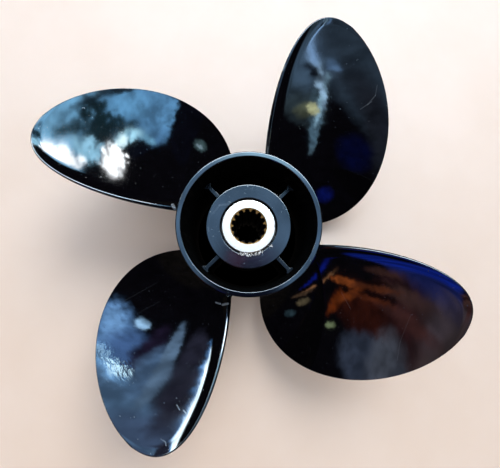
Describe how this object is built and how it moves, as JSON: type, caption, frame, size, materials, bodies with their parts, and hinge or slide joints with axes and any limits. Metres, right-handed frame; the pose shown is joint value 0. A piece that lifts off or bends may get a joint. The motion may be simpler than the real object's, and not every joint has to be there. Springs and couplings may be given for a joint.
{
  "type": "outboard motor propeller",
  "caption": "Right-hand propeller of an outboard motor: broad cupped blades on an open barrel that carries the exhaust, round a ribbed hub with a rubber-mounted splined sleeve.",
  "frame": {"origin": "on the shaft axis, in the plane of the barrel's front end, which is the plane that the propeller stands on", "axes": "+Z runs along the shaft axis and points aft; +X lies midway between rib_4 and rib_1; azimuths are counter-clockwise from +X, seen from aft"},
  "size_m": [0.315, 0.315, 0.1161],
  "materials": {
    "barrel_paint": "black gloss paint, lightly scuffed on the aft rim",
    "hub_paint": "black gloss paint, scuffed on the aft face",
    "rib_paint": "black gloss paint",
    "blade_paint": "black gloss paint with fine scratches",
    "bushing_rubber": "matt",
    "sleeve_metal": "machined, bare"
  },
  "bodies": {
    "root": {"barrel": "barrel_paint", "inner_hub": "hub_paint", "rib_1": "rib_paint", "rib_2": "rib_paint", "rib_3": "rib_paint", "rib_4": "rib_paint", "blade_1": "blade_paint", "blade_2": "blade_paint", "blade_3": "blade_paint", "blade_4": "blade_paint", "rubber_bushing": "bushing_rubber", "splined_sleeve": "sleeve_metal"}
  },
  "joints": []
}
